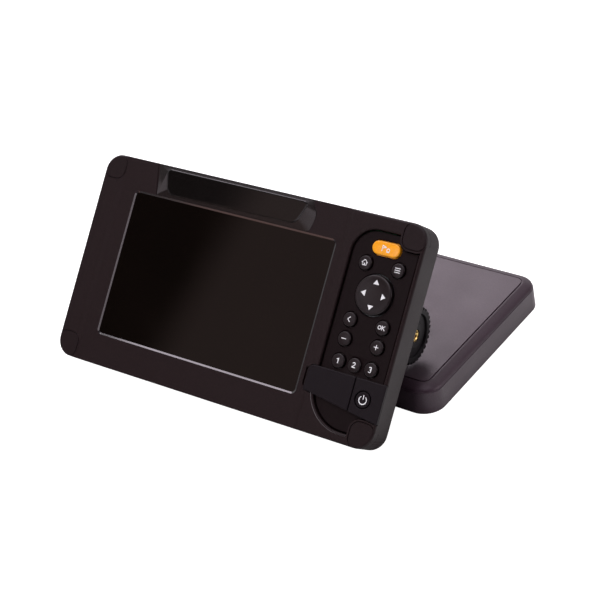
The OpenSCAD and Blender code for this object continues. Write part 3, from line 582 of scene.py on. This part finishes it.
def build_keys():
    for node in ROUND_KEYS:
        middle = centre(node)
        low, high = local(node)
        profile = crown_profile(KEY_R, low.y, KEY_SAG, KEY_EDGE, high.y, 1.0)
        key = stack(node + "_cap", disc(middle.x, middle.z, KEY_R), profile)
        finish(key, KEY, node, "key_black", node)
    low, high = waypoint_low, waypoint_high
    profile = [(-3.6, low.y), (-2.4, low.y + 0.04), (-1.3, low.y + 0.18)]
    profile += rounding(0.9, low.y + 0.22)[1:] + [(0, high.y - 0.8), (1, high.y - 0.8), (1, high.y)]
    finish(stack("waypoint_cap", waypoint_shape, profile), ORANGE, "waypoint_key", "key_orange",
           "waypoint_key")
    low, high = local("power_key")
    profile = [(-POWER_R + 0.4, low.y + 0.55), (-3.6, low.y + 0.48), (-2.4, low.y + 0.3),
               (-1.2, low.y + 0.06), (-0.8, low.y)]
    profile += rounding(0.6, low.y)[1:] + [(0, high.y - 0.8), (1, high.y - 0.8), (1, high.y)]
    middle = centre("power_key")
    finish(stack("power_cap", disc(middle.x, middle.z, POWER_R), profile), SOFT, "power_key",
           "soft_black", "power_key")


def build_pad():
    """The direction pad: a rounded rim around a shallow dish."""
    low, high = local("direction_pad")
    crown = low.y
    profile = [(r - PAD_R, crown + y) for r, y in PAD_DISH]
    profile += rounding(1.3, crown, 0, 7)[1:] + [(0, high.y)]
    pad = stack("pad_cap", disc(pad_centre.x, pad_centre.z, PAD_R, 96), profile)
    finish(pad, KEY, "direction_pad", "key_black", "direction_pad")


def pad_depth(distance):
    """Depth of the pad's dish below its crown at a distance from its middle."""
    for (r0, y0), (r1, y1) in zip(PAD_DISH, PAD_DISH[1:]):
        if distance <= r1:
            return y0 + (y1 - y0) * (distance - r0) / (r1 - r0)
    return 0


def build_door():
    front = door_low.y
    thick = DOOR_T
    profile = [(-0.3, front + thick), (0, front + thick - 0.2)]
    profile += [(g, y) for g, y in reversed(rounding(0.7, front))]
    door = stack("door_plate", door_shape, profile)
    bay = centre("card_reader")
    plug = box_outline(bay.x - 10, bay.x + 10, bay.z - 5, bay.z + 5, 1)
    combine(door, stack("plug", plug, [(0, front + thick - 0.3), (0, 2.6), (-0.4, 3.0)]), "UNION")
    hollow = box_outline(bay.x - 8.6, bay.x + 8.6, bay.z - 3.6, bay.z + 3.6, 0.8)
    cut(door, stack("hollow", hollow, [(0, front + thick + 0.1), (0, 4)]))
    finish(door, SOFT, "card_door", "soft_black", "card_door")
    pad = stack("power_plate", pad_shape, profile)
    power = centre("power_key")
    cut(pad, stack("hole", disc(power.x, power.z, POWER_R + KEY_GAP),
                   [(0.5, front - 1)] + flare(0.5, front) + [(0, 6)]))
    finish(pad, SOFT, "display", "soft_black", "power_pad")


# ---- legends: thin white pieces that lie on the keys ----

def legend(name, body, polygons, height_at, lift=0.05):
    """Flat figures in (x, z) laid on a key's surface, whose depth at a point height_at gives."""
    verts, faces = [], []
    for polygon in polygons:
        start = len(verts)
        count = len(polygon)
        verts += [(x, height_at(x, z) - lift, z) for x, z in polygon]
        verts += [(x, height_at(x, z) + 0.15, z) for x, z in polygon]
        faces.append(tuple(start + k for k in range(count)))
        faces.append(tuple(start + count + k for k in reversed(range(count))))
        faces += [(start + k, start + (k + 1) % count, start + count + (k + 1) % count,
                   start + count + k) for k in range(count)]
    obj = make_object(name, verts, faces)
    obj.data.materials.append(LEGEND)
    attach(obj, body)
    return obj


CELL = 0.4


def bar(x0, z0, x1, z1, w):
    """A straight stroke of width w, in short cells so that it follows a dome."""
    along = Vector((x1 - x0, z1 - z0))
    side = Vector((-along.y, along.x)).normalized() * (w / 2)
    count = max(1, round(along.length / CELL))
    cells = []
    for k in range(count):
        a = Vector((x0, z0)) + along * (k / count)
        b = Vector((x0, z0)) + along * ((k + 1) / count)
        cells.append([tuple(p) for p in (a - side, b - side, b + side, a + side)])
    return cells


def arc(x, z, r, w, start, end, steps=14):
    """Strokes along an arc, in degrees."""
    cells = []
    for k in range(steps):
        a = radians(start + (end - start) * k / steps)
        b = radians(start + (end - start) * (k + 1) / steps)
        cells.append([(x + (r - w / 2) * cos(a), z + (r - w / 2) * sin(a)),
                      (x + (r + w / 2) * cos(a), z + (r + w / 2) * sin(a)),
                      (x + (r + w / 2) * cos(b), z + (r + w / 2) * sin(b)),
                      (x + (r - w / 2) * cos(b), z + (r - w / 2) * sin(b))])
    return cells


def strokes(points, w):
    return [cell for a, b in zip(points, points[1:]) for cell in bar(*a, *b, w)]


def scaled(polygons, k):
    return [[(x * k, z * k) for x, z in polygon] for polygon in polygons]


def shifted(polygons, x, z):
    return [[(x + px, z + pz) for px, pz in polygon] for polygon in polygons]


LETTER_W = 0.5
GLYPHS = {
    "home_key": strokes([(-2.1, -0.1), (0, 1.95), (2.1, -0.1)], 0.4)
    + strokes([(-1.4, 0.3), (-1.4, -1.65), (1.4, -1.65), (1.4, 0.3)], 0.4) + bar(0, -1.5, 0, -0.3, 0.7),
    "menu_key": [cell for z in (-1.35, 0, 1.35) for cell in bar(-2, z, 2, z, 0.46)],
    "back_key": strokes([(0.8, 1.7), (-0.9, 0), (0.8, -1.7)], 0.5),
    "accept_key": arc(-1.45, 0, 1.1, LETTER_W, 0, 360) + bar(0.35, -1.45, 0.35, 1.45, LETTER_W)
    + bar(0.45, -0.1, 2.2, 1.4, LETTER_W) + bar(0.75, 0.2, 2.3, -1.4, LETTER_W),
    "zoom_out_key": bar(-1.7, 0, 1.7, 0, 0.55),
    "zoom_in_key": bar(-1.6, 0, 1.6, 0, 0.5) + bar(0, -1.6, 0, 1.6, 0.5),
    "key_1": bar(0.3, -1.75, 0.3, 1.75, 0.6) + bar(-0.8, 0.85, 0.3, 1.55, 0.5),
    "key_2": arc(0, 0.75, 0.88, 0.62, 165, -35, 8) + strokes([(0.7, 0.25), (-1.05, -1.4)], 0.62)
    + bar(-1.25, -1.45, 1.25, -1.45, 0.62),
    "key_3": arc(-0.05, 0.82, 0.82, 0.6, 150, -90, 9) + arc(-0.05, -0.8, 0.92, 0.6, 90, -150, 9),
}
ARROW = [(1.55, 0.0), (-1.55, 2.1), (-1.55, -2.1)]
ARROW_RADIUS = (7.4, 8.3)
FLAG = (strokes([(-2.4, -1.9), (-2.4, 1.9)], 0.5) + strokes([(-2.4, 1.8), (0.4, 0.9), (-2.4, 0.0)], 0.5)
        + arc(2.0, -0.7, 1.0, 0.5, 0, 360) + bar(0.9, -1.95, 3.1, -1.95, 0.45))
POWER = scaled(arc(0, -0.15, 1.75, 0.42, 125, 415, 20) + bar(0, 0.2, 0, 2.1, 0.42), 1.5)


def build_legends():
    for node, polygons in GLYPHS.items():
        middle = centre(node)
        crown = local(node)[0].y

        def on_key(x, z, middle=middle, crown=crown):
            distance = sqrt((x - middle.x) ** 2 + (z - middle.z) ** 2)
            return crown_height(KEY_R, crown, KEY_SAG, KEY_EDGE, distance)
        legend(node + "_legend", node, shifted(polygons, middle.x, middle.z), on_key)
    arrows = []
    for k in range(4):
        a = k * pi / 2
        out = ARROW_RADIUS[k % 2]
        arrows.append([((out + x) * cos(a) - z * sin(a), (out + x) * sin(a) + z * cos(a)) for x, z in ARROW])
    crown = local("direction_pad")[0].y

    def on_pad(x, z):
        return crown + pad_depth(sqrt((x - pad_centre.x) ** 2 + (z - pad_centre.z) ** 2))
    legend("pad_arrows", "direction_pad", shifted(arrows, pad_centre.x, pad_centre.z), on_pad, 0.08)
    legend("waypoint_legend", "waypoint_key", shifted(FLAG, waypoint_middle.x, waypoint_middle.z),
           lambda x, z: waypoint_low.y + 0.04, 0.06)
    power = centre("power_key")
    crown = local("power_key")[0].y

    def on_power(x, z):
        distance = sqrt((x - power.x) ** 2 + (z - power.z) ** 2)
        return crown + 0.55 * max(0, 1 - (distance / (POWER_R - 0.8)) ** 2)
    legend("power_legend", "power_key", shifted(POWER, power.x, power.z), on_power, 0.08)


# ---- sun cover ----

COVER_YAW = -1.45


def build_cover():
    """Shell with leaning walls, a sloped band around the top, and a fine groove inside the band."""
    low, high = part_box("sun_cover")
    yaw = radians(COVER_YAW)
    width = BODY_W + 6
    length = BODY_H + 6
    top = high.z / MM
    middle = (low + high) / 2
    place = (Matrix.Translation((middle.x, middle.y, 0)) @ Matrix.Rotation(yaw, 4, "Z")
             @ Matrix.Scale(MM, 4))
    shape = box_outline(-width / 2, width / 2, -length / 2, length / 2, CORNER_R + 3, 12)
    inside = [(-9, top - 2.9), (-4.4, top - 3.2), (-3.2, top - 3.9), (-2.8, top - 5.2), (-2.6, 0.5),
              (-2.3, 0)]
    outside = [(-0.3, 0), (0, 0.3)]
    outside += [(g, top - d) for g, d in
                ((-1.1, 5.2), (-1.2, 4.9), (-1.55, 4.75), (-1.6, 4.45), (-1.5, 4.2), (-1.75, 3.5),
                 (-2.4, 2.7), (-3.4, 2.0), (-5.4, 1.1), (-7.4, 0.35), (-8.2, 0.2), (-8.55, 0.25),
                 (-8.7, 0.45), (-8.75, 0.9), (-9.35, 0.9), (-9.4, 0.2), (-9.6, 0), (-12, 0))]
    rings = [[(x, y, z) for x, y in shape(g)] for g, z in inside + outside]
    finish(loft("cover_shell", rings, place), COVER, "sun_cover", "cover_plastic", "sun_cover")


# ---- hubs ----

def side_place(side):
    """Depth runs outward along X from the display's middle, seen from that side."""
    low, high = local("hub_right")
    middle = (low + high) / 2
    local_frame = Matrix.Translation((0, middle.y, middle.z)) @ Matrix(
        ((0, side, 0, 0), (side, 0, 0, 0), (0, 0, 1, 0), (0, 0, 0, 1)))
    return place_display @ local_frame


TEETH = 32
HUB_R = 19.5
TOOTH = 2


def toothed(g):
    points = []
    for k in range(TEETH):
        for part, r in ((0.0, HUB_R - TOOTH), (0.28, HUB_R - 0.15), (0.5, HUB_R), (0.72, HUB_R - 0.15)):
            a = 2 * pi * (k + part) / TEETH
            points.append(((r + g) * cos(a), (r + g) * sin(a)))
    return points


def build_hubs():
    face = local("hub_right")[1].x
    for side, node, insert in ((-1, "hub_left", "insert_left"), (1, "hub_right", "insert_right")):
        place = side_place(side)
        hub = stack(node + "_disc", toothed, [(-0.6, face - 7), (0, face - 6.4), (0, face - 0.6),
                                              (-0.6, face)], place)
        ring = [(r - 1, face - y) for r, y in ((15, -1), (15, 0), (14.7, 0.35), (14.5, 1.6), (8.6, 1.6),
                                               (8.4, 0.35), (8.1, 0), (8.1, -1))]
        cut(hub, stack("ring", disc(0, 0, 1, 72), ring, place, closed=True))
        cut(hub, stack("bore", disc(0, 0, 4.2, 48), [(0, face - 9), (0, face - 0.4), (0.4, face),
                                                     (0.8, face + 1)], place))
        finish(hub, HUB, "display", "rubber_black", node)
        profile = [(-4, face - 12), (-0.3, face - 12), (0, face - 11.7), (0, face - 0.9),
                   (-0.35, face - 0.5), (-1.1, face - 0.5), (-1.5, face - 0.9)]
        pitch = 1
        turns = 9
        for k in range(turns):
            start = face - 1 - k * pitch
            profile += [(-1.7, start), (-1.35, start - pitch * 0.45), (-1.7, start - pitch * 0.9)]
        profile += [(-1.7, face - 10.4), (-4, face - 10.5)]
        brass = stack(insert + "_thread", disc(0, 0, 4.2, 40), profile, place)
        finish(brass, BRASS, "display", "brass", insert)


# ---- CAD nodes that keep their shape ----

KEPT = {
    "screen_glass": GLASS, "glass_gasket": RUBBER, "lcd_panel": CHIP, "backlight": DIFFUSER,
    "lcd_frame": SHEET, "pad_rocker": SILICONE, "key_mat": SILICONE, "dome_switches": SHEET,
    "key_board": BOARD, "keypad_screws": STEEL, "card_reader": SHEET, "rear_housing": TUB,
    "housing_seal": RUBBER, "housing_screws": STEEL, "main_board": BOARD, "board_screws": STEEL,
    "processor": CHIP, "heat_spreader": SHEET, "sonar_shield": SHEET, "gps_antenna": CERAMIC,
    "buzzer": CHIP, "screen_ribbon": RIBBON, "keypad_ribbon": RIBBON, "vent_plug": RUBBER,
    "power_connector": HUB, "transducer_connector": HUB, "connector_pins": BRASS,
}


def dress_cad():
    for node, material in KEPT.items():
        obj = frame["nodes"][node]
        obj.data.materials.clear()
        obj.data.materials.append(material)


# ---- studio ----

# the photograph's view, in the display's frame: millimetres and degrees
AIM = Vector((38.63, 22.73, 80.05))
AZIMUTH = 30.5
ELEVATION = -0.169
ROLL = 15.436
DISTANCE = 1031.6
LENS = 94.07


def build_camera():
    """Camera placed in the display's frame, so that it keeps its view of the front."""
    data = bpy.data.cameras.new("camera")
    data.lens = LENS
    data.sensor_width = 36
    data.clip_end = 20
    camera = bpy.data.objects.new("camera", data)
    bpy.context.scene.collection.objects.link(camera)
    look = Euler((radians(90 - ELEVATION), 0, radians(AZIMUTH))).to_matrix()
    look = turn @ look @ Matrix.Rotation(radians(ROLL), 3, "Z")
    place = place_display @ AIM + look @ Vector((0, 0, DISTANCE * MM))
    camera.matrix_world = Matrix.Translation(place) @ look.to_4x4()
    bpy.context.scene.camera = camera


def area_light(name, location, target, width, height, power, color=(1, 1, 1)):
    data = bpy.data.lights.new(name, "AREA")
    data.shape = "RECTANGLE"
    data.size = width
    data.size_y = height
    data.energy = power
    data.color = color
    light = bpy.data.objects.new(name, data)
    bpy.context.scene.collection.objects.link(light)
    location = Vector(location)
    light.location = location
    light.rotation_euler = (Vector(target) - location).to_track_quat("-Z", "Y").to_euler()
    return light


BRIGHT_SIDE = (-0.55, 0.70, 0.45)
DIM = 0.05
BRIGHT = 0.9
# the floor's glow that reflections see: strength, and from where to where it starts and fades, in metres
FLOOR_SHINE = 0.7
SHINE_START = (0.126, 0.142)
SHINE_FADE = (0.17, 0.24)
SHINE_REST = 0.15


def value_between(nodes, links, value, low, high, start, end):
    """Maps a value between two limits onto two others, eased at both ends."""
    node = nodes.new("ShaderNodeMapRange")
    node.interpolation_type = "SMOOTHSTEP"
    node.inputs["From Min"].default_value = low
    node.inputs["From Max"].default_value = high
    node.inputs["To Min"].default_value = start
    node.inputs["To Max"].default_value = end
    links.new(value, node.inputs["Value"])
    return node.outputs["Result"]


def seen_by(nodes, links, kind, seen, other):
    """Mixes two values: the first for rays of one kind, the second for all others."""
    path = nodes.new("ShaderNodeLightPath")
    mix = nodes.new("ShaderNodeMix")
    mix.data_type = "FLOAT"
    links.new(path.outputs[kind], mix.inputs["Factor"])
    for socket, value in (("A", other), ("B", seen)):
        if isinstance(value, (int, float)):
            mix.inputs[socket].default_value = value
        else:
            links.new(value, mix.inputs[socket])
    return mix.outputs["Result"]


def build_world():
    """White behind the object; light from above and behind, little from the front and below."""
    world = bpy.data.worlds.new("studio")
    bpy.context.scene.world = world
    world.use_nodes = True
    nodes, links = world.node_tree.nodes, world.node_tree.links
    direction = nodes.new("ShaderNodeTexCoord").outputs["Generated"]
    toward = nodes.new("ShaderNodeVectorMath")
    toward.operation = "DOT_PRODUCT"
    toward.inputs[1].default_value = BRIGHT_SIDE
    links.new(direction, toward.inputs[0])
    light = value_between(nodes, links, toward.outputs["Value"], 0.2, 1.0, DIM, BRIGHT)
    links.new(seen_by(nodes, links, "Is Camera Ray", 1.0, light), nodes["Background"].inputs["Strength"])
    nodes["Background"].inputs["Color"].default_value = (1, 1, 1, 1)


def build_floor():
    """Pale floor that shows white, and whose strip at the display's right shines in reflections."""
    bpy.ops.mesh.primitive_plane_add(size=8)
    floor = bpy.context.active_object
    floor.name = "floor"
    material, nodes, links = new_material("floor")
    shader = nodes["Principled BSDF"]
    shader.inputs["Base Color"].default_value = (0.5, 0.5, 0.5, 1)
    shader.inputs["Roughness"].default_value = 0.9
    split = nodes.new("ShaderNodeSeparateXYZ")
    links.new(nodes.new("ShaderNodeTexCoord").outputs["Object"], split.inputs[0])
    near = value_between(nodes, links, split.outputs["X"], *SHINE_START, 0.0, FLOOR_SHINE)
    far = value_between(nodes, links, split.outputs["X"], *SHINE_FADE, 1.0, SHINE_REST)
    shine = nodes.new("ShaderNodeMath")
    shine.operation = "MULTIPLY"
    links.new(near, shine.inputs[0])
    links.new(far, shine.inputs[1])
    glossy = seen_by(nodes, links, "Is Glossy Ray", shine.outputs[0], 0.0)
    links.new(seen_by(nodes, links, "Is Camera Ray", 1.0, glossy), shader.inputs["Emission Strength"])
    shader.inputs["Emission Color"].default_value = (1, 1, 1, 1)
    floor.data.materials.append(material)


def build_lights():
    target = (0, 0, 0.05)
    area_light("back_left", (-0.68, 0.85, 0.78), target, 0.9, 0.55, 6, (1.0, 0.86, 0.98))
    area_light("right", (1.2, 0.35, 0.5), target, 0.7, 0.7, 5, (1.0, 0.88, 0.95))
    area_light("overhead", (-0.17, -0.09, 1.15), (-0.17, -0.09, 0), 1.5, 0.42, 6, (1.0, 0.88, 1.0))
    fill = area_light("front", (-0.1, -0.95, 0.8), target, 0.8, 0.6, 8.5)
    fill.visible_glossy = False


# ---- soft cards in front of the display, which only reflections see ----

CARD_Y = -700
CARD_SLANT = -0.3
SOFT_EDGE = (-70, -30)
EDGE_DIM = 0.12


def on_card(x, z, y):
    """Where a plane at depth y is seen by the camera in the glass at (x, z)."""
    look = Euler((radians(90 - ELEVATION), 0, radians(AZIMUTH))).to_matrix()
    eye = AIM + look @ Vector((0, 0, DISTANCE))
    eye.y = 2 * glass_low.y - eye.y
    spot = Vector((x, glass_low.y, z))
    return spot + (spot - eye) * ((y - glass_low.y) / (glass_low.y - eye.y))


def card(name, corners, y, color, strength, edge=None):
    """Glowing card. edge: two x positions between which it brightens, leaning by CARD_SLANT."""
    verts = [on_card(x, z, y) for x, z in corners]
    mesh = bpy.data.meshes.new(name)
    mesh.from_pydata([place_display @ v for v in verts], [], [tuple(range(len(verts)))])
    obj = bpy.data.objects.new(name, mesh)
    bpy.context.scene.collection.objects.link(obj)
    material, nodes, links = new_material(name)
    nodes.remove(nodes["Principled BSDF"])
    glow = nodes.new("ShaderNodeEmission")
    glow.inputs["Color"].default_value = (*color, 1)
    glow.inputs["Strength"].default_value = strength
    if edge:
        mesh.attributes.new("across", "FLOAT", "POINT")
        for k, (x, z) in enumerate(corners):
            mesh.attributes["across"].data[k].value = x + CARD_SLANT * z
        across = nodes.new("ShaderNodeAttribute")
        across.attribute_name = "across"
        links.new(value_between(nodes, links, across.outputs["Fac"], *edge, EDGE_DIM * strength, strength),
                  glow.inputs["Strength"])
    links.new(glow.outputs[0], nodes["Material Output"].inputs["Surface"])
    mesh.materials.append(material)
    obj.visible_camera = False
    obj.visible_diffuse = False
    obj.visible_shadow = False


def sheet_of(x0, x1, z0, z1):
    return [(x0, z0), (x1, z0), (x1, z1), (x0, z1)]


def build_cards():
    """Plain rectangles: one with a soft edge over the glass, and one for each polished edge."""
    card("wall", sheet_of(-130, 100, -20, 160), CARD_Y, (1.0, 0.72, 0.68), 0.33, SOFT_EDGE)
    card("left_card", sheet_of(-330, -180, -40, 190), CARD_Y, (1.0, 0.88, 0.95), 1.2)
    card("right_card", sheet_of(112, 260, -20, 170), CARD_Y, (1.0, 0.88, 0.95), 1.1)
    card("low_card", sheet_of(-150, 80, -330, -190), CARD_Y, (1.0, 0.6, 0.52), 0.6)


bpy.context.scene.view_settings.view_transform = "Standard"
build_camera()
build_world()
build_floor()
build_lights()
build_cards()
dress_cad()
build_bezel()
build_bevel()
build_sweep()
build_caps()
build_badge()
build_panel()
build_keys()
build_pad()
build_door()
build_legends()
build_cover()
build_hubs()
